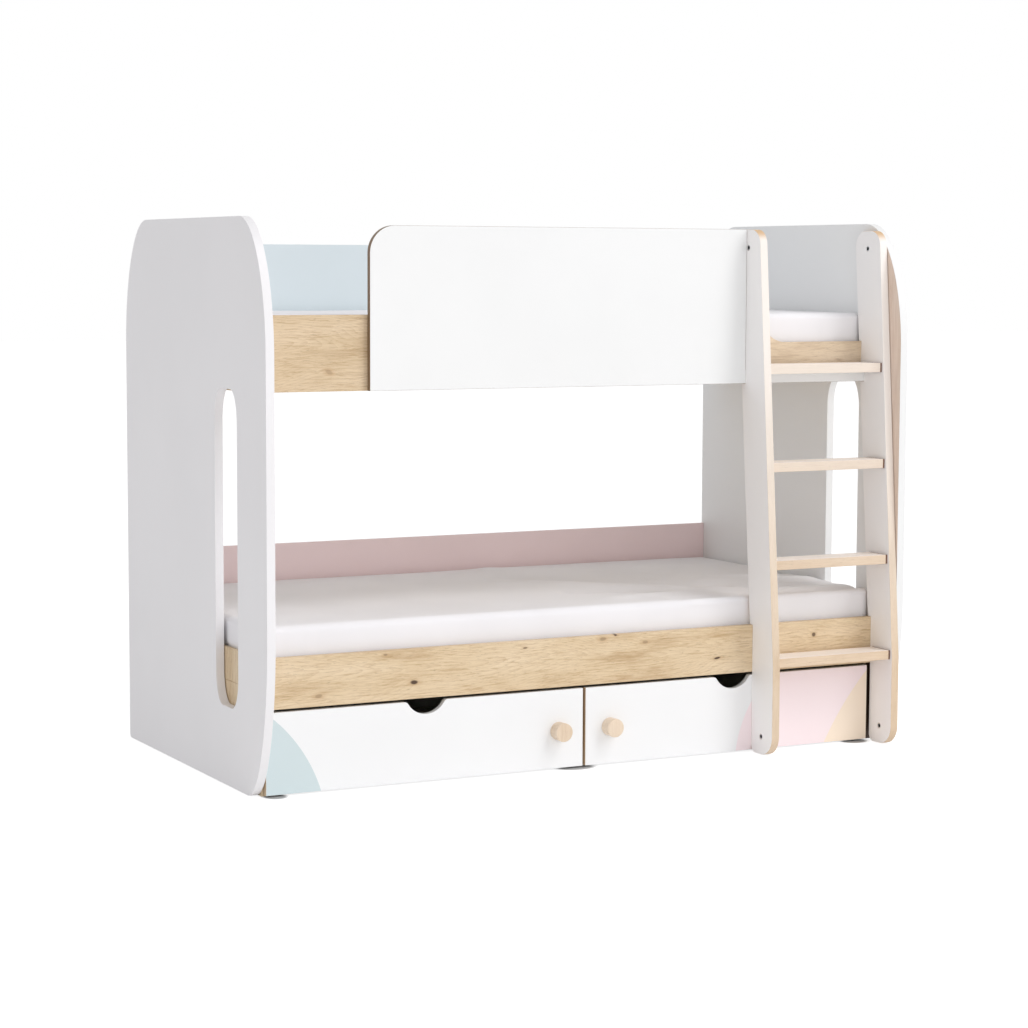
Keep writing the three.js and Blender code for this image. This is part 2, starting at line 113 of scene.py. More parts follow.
class Graph:
    """Short ways to build the nodes of a material or of the world."""

    def __init__(self, owner):
        owner.use_nodes = True
        self.tree = owner.node_tree
        self.tree.nodes.clear()

    def node(self, kind, inputs=None, **settings):
        made = self.tree.nodes.new(kind)
        for key, value in settings.items():
            setattr(made, key, value)
        for key, value in (inputs or {}).items():
            self.feed(made, key, value)
        return made

    def feed(self, node, key, value):
        """Links an input to another node's output, or sets it to a constant."""
        socket = node.inputs[key]
        if isinstance(value, bpy.types.NodeSocket):
            self.tree.links.new(value, socket)
        else:
            socket.default_value = value

    def maths(self, operation, first, second=0.0):
        return self.node("ShaderNodeMath", {0: first, 1: second}, operation=operation).outputs[0]

    def vector(self, operation, first, second=(0, 0, 0)):
        """The outputs of a vector operation: first its vector, and "Value" where it gives a number."""
        return self.node("ShaderNodeVectorMath", {0: first, 1: second}, operation=operation).outputs

    def axes(self, vector):
        return self.node("ShaderNodeSeparateXYZ", {"Vector": vector}).outputs

    def between(self, value, low, high, new_low=0.0, new_high=1.0):
        inputs = {"Value": value, "From Min": low, "From Max": high, "To Min": new_low, "To Max": new_high}
        return self.node("ShaderNodeMapRange", inputs, interpolation_type="SMOOTHSTEP").outputs["Result"]

    def stretched(self, vector, scale, shift=(0, 0, 0)):
        inputs = {"Vector": vector, "Scale": scale, "Location": shift}
        return self.node("ShaderNodeMapping", inputs).outputs["Vector"]

    def noise(self, vector, scale, detail=2.0, roughness=0.5, distortion=0.0, output="Fac"):
        inputs = {"Vector": vector, "Scale": scale, "Detail": detail,
                  "Roughness": roughness, "Distortion": distortion}
        return self.node("ShaderNodeTexNoise", inputs).outputs[output]

    def ramp(self, factor, stops):
        node = self.node("ShaderNodeValToRGB", {"Fac": factor})
        elements = node.color_ramp.elements
        while len(elements) < len(stops):
            elements.new(0.5)
        for element, (position, shade) in zip(elements, stops):
            element.position = position
            element.color = shade
        return node.outputs["Color"]

    def mix(self, factor, first, second):
        node = self.node("ShaderNodeMix", data_type="RGBA", blend_type="MIX")
        for key, value in ((0, factor), (6, first), (7, second)):
            self.feed(node, key, value)
        return node.outputs[2]


class Surface(Graph):
    """The nodes of one material, round a principled shader."""

    def __init__(self, name):
        self.material = bpy.data.materials.new(name)
        super().__init__(self.material)
        self.shader = self.node("ShaderNodeBsdfPrincipled")
        self.node("ShaderNodeOutputMaterial", {"Surface": self.shader.outputs[0]})
        self.place = self.node("ShaderNodeTexCoord").outputs["Object"]

    def bump(self, height, strength, distance):
        inputs = {"Height": height, "Strength": strength, "Distance": distance}
        return self.node("ShaderNodeBump", inputs).outputs["Normal"]

    def drifting(self, shade, share, scale, detail=3.0, low=0.35, high=0.65):
        """A shade that drifts to one with a share of its light and back."""
        drift = self.noise(self.place, scale, detail)
        return self.mix(self.between(drift, low, high), darker(shade, share), shade)

    def finish(self, **inputs):
        for key, value in inputs.items():
            self.feed(self.shader, key.replace("_", " "), value)
        return self.material

    def finish_pearl(self, tone, smoothest, roughest):
        """The fine texture of a melamine face, over a tone."""
        pearl = self.noise(self.place, 900.0, 2.0, 0.6)
        rough = self.between(pearl, 0.3, 0.7, smoothest, roughest)
        return self.finish(Base_Color=tone, Roughness=rough, Normal=self.bump(pearl, 0.12, 0.0002))


# Materials


def laminate(name, shade, dark_share=0.02, roughness=0.42):
    """A plain melamine face with a faint change of tone."""
    graph = Surface(name)
    tone = graph.drifting(shade, 1 - dark_share, 2.2)
    return graph.finish_pearl(tone, roughness - 0.04, roughness + 0.05)


# The grain's scales along, across and up a board, and how strongly each layer shows
warp_scale, blotch_scale, coarse = (1.0, 4.0, 4.0), (1.0, 5.0, 5.0), 2.6
streak_scale, pore_scale = (15.0, 210.0, 210.0), (46.0, 480.0, 480.0)
ring_strength, streak_strength, fibre_strength, pore_strength = 0.36, 0.62, 0.42, 0.44
sway_size, heart_rounding, across_tilt, late_wood = 0.07, 0.008, 0.35, 2.2
knot_halo, knot_eye, halo_strength = colour(182, 140, 92), colour(62, 38, 20), 0.38
knot_fade, knot_swell = 0.22, 3.5
# The pale tone that painted light brings the wood to
painted_light_tone = colour(255, 251, 247)


def grained(name, light, middle, dark, along="x", ring_spacing=0.0075, taper=0.16, heart_height=0.0,
            contrast=1.0, knots=(), lift=None, roughness=0.5, painted_shade=None, upward=None):
    """Oak or pine: long arches of growth rings, fibres, short pores and a few knots, along an axis.

    A knot is its place along and up the board, its size and how dark it is. A lift makes the wood
    paler along an axis, from one place to another: painted light. A painted shade colours it past a
    place on an axis. Upward gives the colour that its upward faces take on, and how much of it:
    painted light or shade on them, by how light falls.
    """
    graph = Surface(name)
    turn = {"x": (0, 0, 0), "y": (0, 0, math.pi / 2), "z": (0, math.pi / 2, 0)}[along]
    turned = graph.node("ShaderNodeMapping", {"Vector": graph.place, "Rotation": turn}).outputs["Vector"]
    warp = graph.noise(graph.stretched(turned, warp_scale), coarse, 3.0, output="Color")
    sway = graph.vector("SUBTRACT", warp, (0.5, 0.5, 0.5))[0]
    wave = graph.vector("MULTIPLY", sway, (sway_size, sway_size, sway_size))[0]
    bent = graph.vector("ADD", turned, wave)[0]

    def knot_distance(place, knot_x, knot_z, shortened):
        """How far a place is from a knot, which reaches further along the board than up it."""
        offset = graph.vector("SUBTRACT", place, (knot_x, 0, knot_z))[0]
        return graph.vector("LENGTH", graph.stretched(offset, (shortened, 0, 1)))["Value"]

    lengthwise, across, height = graph.axes(bent)
    level = graph.maths("SUBTRACT", height, heart_height)
    squared = graph.maths("ADD", graph.maths("MULTIPLY", level, level), heart_rounding ** 2)
    cone = graph.maths("ADD", graph.maths("SQRT", squared), graph.maths("MULTIPLY", lengthwise, taper))
    cone = graph.maths("ADD", cone, graph.maths("MULTIPLY", across, across_tilt))
    for knot_x, knot_z, size, _ in knots:
        distance = knot_distance(turned, knot_x, knot_z, 0.5)
        swell = graph.maths("EXPONENT", graph.maths("MULTIPLY", distance, -knot_fade / size))
        cone = graph.maths("ADD", cone, graph.maths("MULTIPLY", swell, knot_swell * size))
    rings = graph.maths("FRACT", graph.maths("DIVIDE", cone, ring_spacing))
    late = graph.maths("POWER", rings, late_wood)

    streaks = graph.noise(graph.stretched(turned, streak_scale), 1.0, 6.0, 0.78, 0.5)
    pores = graph.noise(graph.stretched(turned, pore_scale), 1.0, 3.0, 0.7)
    blotch = graph.noise(graph.stretched(turned, blotch_scale, (3.1, 0, 0)), coarse, 4.0, 0.6)
    pore_mask = graph.between(pores, 0.58, 0.70)

    tone = graph.ramp(blotch, [(0.30, dark), (0.46, middle), (0.68, light)])
    tone = graph.mix(graph.maths("MULTIPLY", late, ring_strength * contrast), tone, dark)
    tone = graph.mix(graph.between(streaks, 0.32, 0.52, streak_strength * contrast, 0.0), tone, dark)
    fibre = graph.between(streaks, 0.36, 0.64)
    tone = graph.mix(graph.maths("MULTIPLY", fibre, fibre_strength * contrast), tone, light)
    tone = graph.mix(graph.maths("MULTIPLY", pore_mask, pore_strength * contrast), tone, darker(dark, 0.55))
    for knot_x, knot_z, size, darkness in knots:
        distance = knot_distance(bent, knot_x, knot_z, 0.45)
        halo = graph.between(distance, size * 0.4, size * 2.2, halo_strength, 0.0)
        tone = graph.mix(halo, tone, knot_halo)
        eye = graph.between(distance, size * 0.45, size * 0.95, darkness, 0.0)
        tone = graph.mix(eye, tone, knot_eye)

    own = graph.axes(graph.place)
    # Painted light: paler along an axis
    if lift:
        axis, low, high, share = lift
        tone = graph.mix(graph.between(own[axis], low, high, 0.0, share), tone, painted_light_tone)
    # Painted light or shade on the upward faces, by how light falls on them
    if upward:
        shade, share = upward
        tilt = graph.axes(graph.node("ShaderNodeTexCoord").outputs["Normal"])[2]
        tone = graph.mix(graph.between(tilt, 0.25, 0.9, 0.0, share), tone, shade)
    # Painted shade: a dark colour past a place on an axis
    if painted_shade:
        axis, operation, limit, shade = painted_shade
        tone = graph.mix(graph.maths(operation, own[axis], limit), tone, shade)
    relief = graph.maths("SUBTRACT", streaks, graph.maths("MULTIPLY", pore_mask, 0.5))
    rough = graph.between(streaks, 0.3, 0.7, roughness - 0.06, roughness + 0.08)
    return graph.finish(Base_Color=tone, Roughness=rough, Normal=graph.bump(relief, 0.16, 0.0006))


def decorated_front(name, shade, fields):
    """A white drawer front with plain round colour fields, each as centre x, centre z, radius and colour."""
    graph = Surface(name)
    across, _, height = graph.axes(graph.place)
    flat = graph.node("ShaderNodeCombineXYZ", {"X": across, "Z": height}).outputs[0]
    tone = graph.drifting(shade, 0.985, 2.2)
    for centre_x, centre_z, radius, field in fields:
        distance = graph.vector("DISTANCE", flat, (centre_x, 0, centre_z))["Value"]
        tone = graph.mix(graph.maths("LESS_THAN", distance, radius), tone, field)
    return graph.finish_pearl(tone, 0.36, 0.46)


def cotton(name, shade):
    """A smooth sheet: a very fine weave and soft sheen."""
    graph = Surface(name)
    lengthwise, crosswise = 300.0, 2600.0
    across = graph.noise(graph.stretched(graph.place, (lengthwise, crosswise, crosswise)), 1.0, 1.0)
    along = graph.noise(graph.stretched(graph.place, (crosswise, lengthwise, crosswise)), 1.0, 1.0)
    weave = graph.maths("MULTIPLY", across, along)
    return graph.finish(
        Base_Color=graph.drifting(shade, 0.965, 3.0), Roughness=graph.between(weave, 0.15, 0.35, 0.8, 0.92),
        Normal=graph.bump(weave, 0.25, 0.0003), Sheen_Weight=0.15, Sheen_Roughness=0.5)


def metal(name, shade, roughness, streak=0.06):
    """Plated or brushed metal."""
    graph = Surface(name)
    brushed = graph.noise(graph.stretched(graph.place, (900.0, 60.0, 900.0)), 1.0, 3.0)
    rough = graph.between(brushed, 0.3, 0.7, roughness - streak, roughness + streak)
    return graph.finish(
        Base_Color=graph.drifting(shade, 0.9, 60.0, 2.0, 0.3, 0.7), Roughness=rough, Metallic=1.0,
        Normal=graph.bump(brushed, 0.08, 0.0001))


def rubbery(name, shade, roughness=0.65):
    """Rubber or plain plastic with a fine grain."""
    graph = Surface(name)
    grain = graph.noise(graph.place, 700.0, 3.0)
    rough = graph.between(grain, 0.3, 0.7, roughness - 0.08, roughness + 0.08)
    return graph.finish(
        Base_Color=graph.drifting(shade, 0.8, 40.0, 2.0, 0.3, 0.7), Roughness=rough,
        Normal=graph.bump(grain, 0.2, 0.0002))


white = colour(243, 244, 244)
white_board = laminate("white_board", white)
# Copies of the white board tuned to their light: the left end panel's a touch darker, painted shade, and the
# ladder boards' brighter, painted light
panel_white_painted_shade = laminate("panel_white_painted_shade", colour(243, 242, 244))
ladder_white_painted_light = laminate("ladder_white_painted_light", colour(252, 250, 249))
pink_board = laminate("pink_board", colour(250, 229, 230))
blue_board = laminate("blue_board", colour(225, 236, 240))
grey_board = laminate("grey_board", colour(205, 204, 202), 0.05, 0.55)
rail_shades = colour(234, 213, 181), colour(222, 198, 161), colour(184, 151, 108)
lower_rail_oak = grained(
    "lower_rail_oak", *rail_shades, heart_height=0.325, taper=0.11,
    knots=[(-0.844, 0.272, 0.007, 0.3), (-0.546, 0.286, 0.0065, 0.95), (-0.640, 0.366, 0.004, 0.4),
           (-0.205, 0.352, 0.004, 0.7), (0.042, 0.367, 0.007, 0.35), (0.085, 0.376, 0.003, 0.9),
           (0.190, 0.352, 0.006, 0.3), (0.435, 0.286, 0.0055, 0.95), (0.780, 0.336, 0.004, 0.8)])
# The upper rail's oak, a touch darker than the lower rail's: painted shade, with painted light making its
# entry stretch paler
upper_rail_oak = grained(
    "upper_rail_oak", colour(229, 207, 176), colour(216, 192, 156), colour(178, 146, 105),
    heart_height=1.225, lift=(0, 0.56, 0.63, 0.15),
    knots=[(-0.780, 1.152, 0.006, 0.2), (0.900, 1.160, 0.005, 0.2)])
end_oak = grained("end_oak", *rail_shades, along="z")
# The right end boards' oak, with the base board's front end painted dark brown: painted shade in its deep
# recess beside the drawer
dark_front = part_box("base_board_right")[0].y + 0.002
shaded_oak = grained(
    "shaded_oak", *rail_shades, along="z", painted_shade=(1, "LESS_THAN", dark_front, colour(58, 34, 20)))
# The treads: painted light, paler higher up and on their tops, and a painted shadow of the right side board
# at their far ends
tread_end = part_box("ladder_tread_1")[1].x - 0.0055
tread_oak = grained(
    "tread_oak", colour(231, 208, 181), colour(221, 196, 167), colour(203, 174, 140),
    contrast=0.6, taper=0.02, lift=(2, 0.35, 1.15, 0.5), upward=(colour(255, 246, 238), 0.95),
    painted_shade=(0, "GREATER_THAN", tread_end, colour(112, 72, 52)))
# The ladder boards' front bands: painted light, paler higher up, and painted shading that turns their upward
# rounded tops golden. The far board's band is a copy of its own, tuned to its light
painted_golden_top = (colour(216, 172, 114), 0.85)
band_oak = grained(
    "band_oak", colour(231, 211, 187), colour(222, 200, 173), colour(205, 178, 144),
    along="z", contrast=0.5, taper=0.02, lift=(2, 0.2, 1.35, 0.8), upward=painted_golden_top)
far_band_oak = grained(
    "far_band_oak", colour(231, 209, 183), colour(222, 198, 169), colour(205, 176, 140),
    along="z", contrast=0.5, taper=0.02, lift=(2, 0.2, 1.2, 0.95), upward=painted_golden_top)
# The guard panel's cut edge: its oak band painted in deep shade
guard_band_painted_shade = grained(
    "guard_band_painted_shade", colour(138, 113, 86), colour(122, 98, 72), colour(100, 76, 52),
    along="z", contrast=0.5, taper=0.02)
drawer_band_oak = grained(
    "drawer_band_oak", colour(222, 198, 168), colour(208, 182, 150), colour(186, 158, 124),
    along="z", contrast=0.5, taper=0.02)
pine_shades = colour(236, 216, 176), colour(226, 202, 158), colour(205, 174, 124)
pine = grained("pine", *pine_shades, along="y", contrast=0.8, taper=0.03)
long_pine = grained("long_pine", *pine_shades, contrast=0.8, taper=0.03)
knob_wood = grained(
    "knob_wood", colour(242, 225, 204), colour(235, 215, 192), colour(220, 196, 168),
    along="z", contrast=0.6, taper=0.03, ring_spacing=0.005, roughness=0.42)
bed_sheet = cotton("bed_sheet", colour(246, 245, 248))
webbing = cotton("webbing", colour(232, 228, 218))
cap_metal = metal("cap_metal", colour(214, 214, 216), 0.3)
# The caps' dishes: metal painted near black, painted shade in the hole
socket_painted_shade = metal("socket_painted_shade", colour(26, 25, 25), 0.5)
castor_steel = metal("castor_steel", colour(190, 190, 192), 0.38)
tyre_rubber = rubbery("tyre_rubber", colour(52, 53, 56))
hub_plastic = rubbery("hub_plastic", colour(112, 113, 116), 0.45)
front_white = colour(246, 247, 248)
left_front = decorated_front("left_front", front_white, [(-1.270, -0.134, 0.456, colour(209, 223, 226))])
right_front = decorated_front(
    "right_front", front_white,
    [(0.852, -0.041, 0.355, colour(252, 237, 240)), (1.648, -0.436, 0.944, colour(252, 236, 216))])


# Pieces


def stand_for(piece, node):
    """The piece takes a node's place and body."""
    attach(piece, nodes[node]["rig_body"])
    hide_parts(node)


def new_piece(name, points, faces, materials, indices=None, sharp_degrees=32):
    """A mesh object, smooth up to an angle."""
    mesh = bpy.data.meshes.new(name)
    mesh.from_pydata(points, [], faces)
    for material in materials:
        mesh.materials.append(material)
    if indices:
        mesh.polygons.foreach_set("material_index", indices)
    mesh.polygons.foreach_set("use_smooth", [True] * len(mesh.polygons))
    mesh.set_sharp_from_angle(angle=math.radians(sharp_degrees))
    mesh.validate()
    piece = bpy.data.objects.new(name, mesh)
    bpy.context.scene.collection.objects.link(piece)
    return piece


def keep_faces_flat(piece):
    modifier = piece.modifiers.new("flat_faces", "WEIGHTED_NORMAL")
    modifier.keep_sharp = True
    modifier.weight = 90


def arc(centre_u, centre_v, radius_u, radius_v, start, end, steps):
    """Points on part of an ellipse, from one angle to another, in degrees."""
    turns = [math.radians(start + (end - start) * i / steps) for i in range(steps + 1)]
    return [(centre_u + radius_u * math.cos(t), centre_v + radius_v * math.sin(t)) for t in turns]


def round_arc(centre_u, centre_v, radius, start, end, steps):
    return arc(centre_u, centre_v, radius, radius, start, end, steps)


def curve_between(start, control, end, steps=6):
    """Points on a quadratic curve, without its start."""
    shares = [i / steps for i in range(1, steps + 1)]
    return [tuple((1 - t) ** 2 * a + 2 * t * (1 - t) * b + t * t * c
                  for a, b, c in zip(start, control, end)) for t in shares]


def without_repeats(points):
    closest = 1e-6
    kept = []
    for point in points:
        if not kept or math.dist(point, kept[-1]) > closest:
            kept.append(point)
    if math.dist(kept[0], kept[-1]) < closest:
        kept.pop()
    return kept


def inset_outline(points, distance):
    """The outline moved to its left by a distance, with mitred corners."""
    least_mitre = 0.4
    moved = []
    count = len(points)
    for i, point in enumerate(points):
        before = Vector(point) - Vector(points[i - 1])
        after = Vector(points[(i + 1) % count]) - Vector(point)
        first = Vector((-before.y, before.x)).normalized()
        second = Vector((-after.y, after.x)).normalized()
        middle = first + second
        middle = middle / max(middle.length_squared / 2, least_mitre)
        moved.append((point[0] + middle.x * distance, point[1] + middle.y * distance))
    return moved


def flat_triangles(loops):
    """Triangles that fill loops of points, anticlockwise, by the points' places in the whole list."""
    every = [point for loop in loops for point in loop]
    triangles = []
    for a, b, c in geometry.tessellate_polygon([[Vector((u, v, 0)) for u, v in loop] for loop in loops]):
        first = Vector(every[b]) - Vector(every[a])
        second = Vector(every[c]) - Vector(every[a])
        triangles.append((a, b, c) if first.cross(second) > 0 else (a, c, b))
    return triangles


# From an outline's two directions and the board's thickness to X, Y and Z, by the thickness's axis
to_row = {
    "x": lambda u, v, w: (w, u, v),
    "y": lambda u, v, w: (u, -w, v),
}


def eased_levels(low, high, steps=3):
    """Levels through a board's thickness, each with how far its outline is drawn in there."""
    levels = []
    for i in range(steps + 1):
        angle = i / steps * math.pi / 2
        levels.append((ease * (1 - math.sin(angle)), low + ease * (1 - math.cos(angle))))
    return levels + [(inset, low + high - level) for inset, level in reversed(levels)]


def add_low_face(points, faces, indices, to_place, low, flat, sockets):
    """A board's low face, whose rims are its first points, with blind round sockets."""
    rims = [list(reversed(round_arc(u, v, radius, 0, 360, 28)[:-1])) for u, v, radius, _ in sockets]
    main_count = sum(len(loop) for loop in flat)
    rim_start = len(points)
    for rim in rims:
        points.extend(to_place(u, v, low) for u, v in rim)
    for corners in flat_triangles(flat + rims):
        a, b, c = [i if i < main_count else rim_start + i - main_count for i in corners]
        faces.append((a, c, b))
        indices.append(0)
    for rim, (_, _, _, depth) in zip(rims, sockets):
        count = len(rim)
        deep_start = len(points)
        points.extend(to_place(u, v, low + depth) for u, v in rim)
        for i in range(count):
            following = (i + 1) % count
            faces.append((rim_start + i, rim_start + following, deep_start + following, deep_start + i))
            indices.append(1)
        faces.append(tuple(deep_start + i for i in range(count)))
        indices.append(1)
        rim_start += count


def cut_board(node, outlines, axis, low, high, materials, sockets=()):
    """A board cut from outlines, the first one anticlockwise and its holes clockwise, with eased edges.

    The materials are those of the low face, the cut edge and the high face. A socket is a blind round
    hole in the low face: its centre, radius and depth.
    """
    if axis == "y":
        low, high = -high, -low
    to_place = to_row[axis]
    outlines = [without_repeats(outline) for outline in outlines]
    points, faces, indices = [], [], []
    starts = []
    for inset, level in eased_levels(low, high):
        starts.append(len(points))
        for outline in outlines:
            points.extend(to_place(u, v, level) for u, v in inset_outline(outline, inset))
    last_band = len(starts) - 2
    for band, (start, following) in enumerate(zip(starts, starts[1:])):
        part = {0: 0, last_band: 2}.get(band, 1)
        offset = 0
        for outline in outlines:
            count = len(outline)
            for i in range(count):
                a, b = offset + i, offset + (i + 1) % count
                faces.append((start + a, start + b, following + b, following + a))
                indices.append(part)
            offset += count
    flat = [inset_outline(outline, ease) for outline in outlines]
    for a, b, c in flat_triangles(flat):
        faces.append((starts[-1] + a, starts[-1] + b, starts[-1] + c))
        indices.append(2)
    add_low_face(points, faces, indices, to_place, low, flat, sockets)
    piece = new_piece(f"{node}_look", points, faces, materials, indices)
    keep_faces_flat(piece)
    stand_for(piece, node)
    return piece


def lathe(node, profile, direction, centre, materials, parts=None, sides=48):
    """A turned form in a node's place: radius and distance along a direction, from a centre."""
    least_radius = 1e-5
    direction = Vector(direction).normalized()
    across = direction.orthogonal().normalized()
    up = direction.cross(across)
    points, faces, indices = [], [], []
    for radius, along in profile:
        for i in range(sides):
            angle = 2 * math.pi * i / sides
            points.append(Vector(centre) + direction * along
                          + (across * math.cos(angle) + up * math.sin(angle)) * max(radius, least_radius))
    for k in range(len(profile) - 1):
        for i in range(sides):
            a, b = k * sides + i, k * sides + (i + 1) % sides
            faces.append((a, b, b + sides, a + sides))
            indices.append(parts[k] if parts else 0)
    faces.append(tuple(reversed(range(sides))))
    indices.append(indices[0])
    last = (len(profile) - 1) * sides
    faces.append(tuple(range(last, last + sides)))
    indices.append(indices[-2])
    stand_for(new_piece(f"{node}_look", points, faces, materials, indices), node)


def finish_plank(node, material, edge=ease):
    """A CAD plank keeps its form, with eased edges and its material."""
    piece = nodes[node]
    piece.data.materials.clear()
    piece.data.materials.append(material)
    modifier = piece.modifiers.new("weld", "WELD")
    modifier.merge_threshold = 0.00001
    modifier = piece.modifiers.new("whole_faces", "DECIMATE")
    modifier.decimate_type = "DISSOLVE"
    modifier.angle_limit = math.radians(0.5)
    modifier = piece.modifiers.new("eased", "BEVEL")
    modifier.width = edge
    modifier.segments = 2
    modifier.limit_method = "ANGLE"
    modifier.angle_limit = math.radians(40)
    keep_faces_flat(piece)
    piece.data.polygons.foreach_set("use_smooth", [True] * len(piece.data.polygons))


# Ladder and entry sizes that more than one piece needs: depths behind the front, and heights

foot_front, bend, front_lean = -0.020, 0.270, 0.079
guard_strip, entry_top, full_seat = 1.138, 1.2155, 1.304
ladder_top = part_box("ladder_side_left")[1].z

# End panels

top_depth, top_height = 0.190, 0.375
foot_depth, foot_height = 0.150, 0.450
heel_radius = 0.012
slot_front, slot_back, slot_bottom, slot_top = 0.214, 0.384, 0.222, 1.102
slot_depth, slot_height = 0.050, 0.090
panel_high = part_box("end_panel_left")[1]
back, top = panel_high.y, panel_high.z

panel_outline = [
    *round_arc(back - heel_radius, heel_radius, heel_radius, -90, 0, 4),
    *arc(back - top_depth, top - top_height, top_depth, top_height, 0, 90, 28),
    *arc(front + top_depth, top - top_height, top_depth, top_height, 90, 180, 28),
    *arc(front + foot_depth, foot_height, foot_depth, foot_height, 180, 270, 28),
]
near_u, far_u = front + slot_front + slot_depth, front + slot_back - slot_depth
low_v, high_v = slot_bottom + slot_height, slot_top - slot_height
panel_slot = []
for u, v, turn in ((far_u, high_v, 0), (far_u, low_v, -90), (near_u, low_v, -180), (near_u, high_v, -270)):
    panel_slot += arc(u, v, slot_depth, slot_height, turn + 90, turn, 14)


def inner_face_with_painted_shade():
    """The white inner face beside the ladder, with a painted warm shade, streaked like oak, in front of the
    ladder's side board.
    """
    graph = Surface("inner_face_painted_shade")
    _, depth, height = graph.axes(graph.place)
    reveal = 0.005
    line = graph.maths("MULTIPLY", graph.maths("SUBTRACT", height, bend), front_lean)
    line = graph.maths("ADD", line, front + foot_front + reveal)
    beside = graph.maths("MULTIPLY", graph.maths("LESS_THAN", depth, line),
                         graph.maths("LESS_THAN", height, ladder_top))
    streaks = graph.noise(graph.stretched(graph.place, (170.0, 170.0, 7.0)), 1.0, 4.0, 0.65)
    # The painted warm shade, streaked like oak
    wood = graph.mix(graph.between(streaks, 0.35, 0.65), colour(222, 200, 183), colour(234, 215, 200))
    return graph.finish_pearl(graph.mix(beside, white, wood), 0.38, 0.47)


panel_materials = {"left": [panel_white_painted_shade] * 3, "right": [inner_face_with_painted_shade(), white_board, white_board]}
for side, materials in panel_materials.items():
    low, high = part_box(f"end_panel_{side}")
    cut_board(f"end_panel_{side}", [panel_outline, panel_slot], "x", low.x, high.x, materials)

# Upper front rail and guard panel

low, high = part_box("upper_front_rail")
entry_start, entry_radius = 0.618, 0.086
upper_rail_outline = [
    (low.x, low.z), (high.x, low.z), (high.x, entry_top),
    *round_arc(entry_start + entry_radius, entry_top + entry_radius, entry_radius, 270, 180, 20),
    (entry_start, high.z), (low.x, high.z),
]
cut_board("upper_front_rail", [upper_rail_outline], "y", low.y, high.y, [upper_rail_oak] * 3)

low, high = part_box("guard_panel")
guard_right, guard_corner, guard_small = 0.5532, 0.076, 0.005
guard_outline = [
    (low.x, low.z), (high.x, low.z), (high.x, guard_strip), (guard_right, guard_strip),
    *round_arc(guard_right - guard_small, high.z - guard_small, guard_small, 0, 90, 4),
    *round_arc(low.x + guard_corner, high.z - guard_corner, guard_corner, 90, 180, 24),
]
cut_board("guard_panel", [guard_outline], "y", low.y, high.y, [white_board, guard_band_painted_shade, white_board])

# Ladder

back_start, back_lean, rail_top = 0.1095, 0.0845, 0.380
top_radius, toe_radius, ladder_heel = 0.047, 0.059, 0.022
rail_front, rail_bottom = 0.094, 1.095
guard_face, rail_face = 0.150, 0.168


def ladder_front_at(height):
    return front + foot_front + max(0, height - bend) * front_lean


def ladder_back_at(height):
    return front + back_start + (height - rail_top) * back_lean


def ladder_outline(seat):
    """A ladder side board, cut out round the rail that it hooks over, whose top is at the seat."""
    round_height = ladder_top - top_radius
    top_front = ladder_front_at(round_height) + top_radius
    top_back = ladder_back_at(round_height) - top_radius
    heel = front + rail_front - gap - ladder_heel
    cut = rail_bottom - gap
    return [
        *round_arc(heel, ladder_heel, ladder_heel, -90, 0, 10),
        (front + rail_front - gap, rail_top + gap),
        (ladder_back_at(rail_top), rail_top + gap),
        (ladder_back_at(cut), cut),
        (front + guard_face - gap, cut),
        (front + guard_face - gap, guard_strip + gap),
        (front + rail_face - gap, guard_strip + gap),
        (front + rail_face - gap, seat + gap),
        (ladder_back_at(seat), seat + gap),
        *round_arc(top_back, round_height, top_radius, 0, 90, 14),
        *round_arc(top_front, round_height, top_radius, 90, 180, 14),
        (front + foot_front, bend),
        *round_arc(front + foot_front + toe_radius, toe_radius, toe_radius, 180, 270, 16),
    ]


# The connector caps' depths behind the front and heights, and their blind holes
cap_places = {"top": (0.141, 1.495), "bottom": (0.040, 0.053)}
cap_radius, cap_depth, cap_play = 0.0084, 0.011, 0.0004
for side, seat, band in (("left", full_seat, band_oak), ("right", entry_top, far_band_oak)):
    low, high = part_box(f"ladder_side_{side}")
    sockets = [(front + depth, height, cap_radius + cap_play, cap_depth + cap_play)
               for depth, height in cap_places.values()]
    cut_board(f"ladder_side_{side}", [ladder_outline(seat)], "x", low.x, high.x,
              [ladder_white_painted_light, band, ladder_white_painted_light], sockets)

tread_count = 4
for i in range(tread_count):
    finish_plank(f"ladder_tread_{i + 1}", tread_oak, 0.001)

# Drawers

notch_radius, notch_depth, notch_shoulder = 0.065, 0.037, 0.012


def drawer_front_outline(low, high, notch):
    """A drawer front with a round finger notch, eased at both sides, in its top edge."""
    centre = high.z - notch_depth + notch_radius
    rise = notch_radius - notch_depth + notch_shoulder * 0.5
    swing = math.degrees(math.asin(rise / notch_radius))
    lip = math.cos(math.radians(swing)) * notch_radius
    outer, inner = lip + notch_shoulder, lip + notch_shoulder * 0.3
    return [
        (low.x, low.z), (high.x, low.z), (high.x, high.z), (notch + outer, high.z),
        *curve_between((notch + outer, high.z), (notch + inner, high.z), (notch + lip, centre - rise)),
        *round_arc(notch, centre, notch_radius, -swing, swing - 180, 20),
        *curve_between((notch - lip, centre - rise), (notch - inner, high.z), (notch - outer, high.z)),
        (low.x, high.z),
    ]


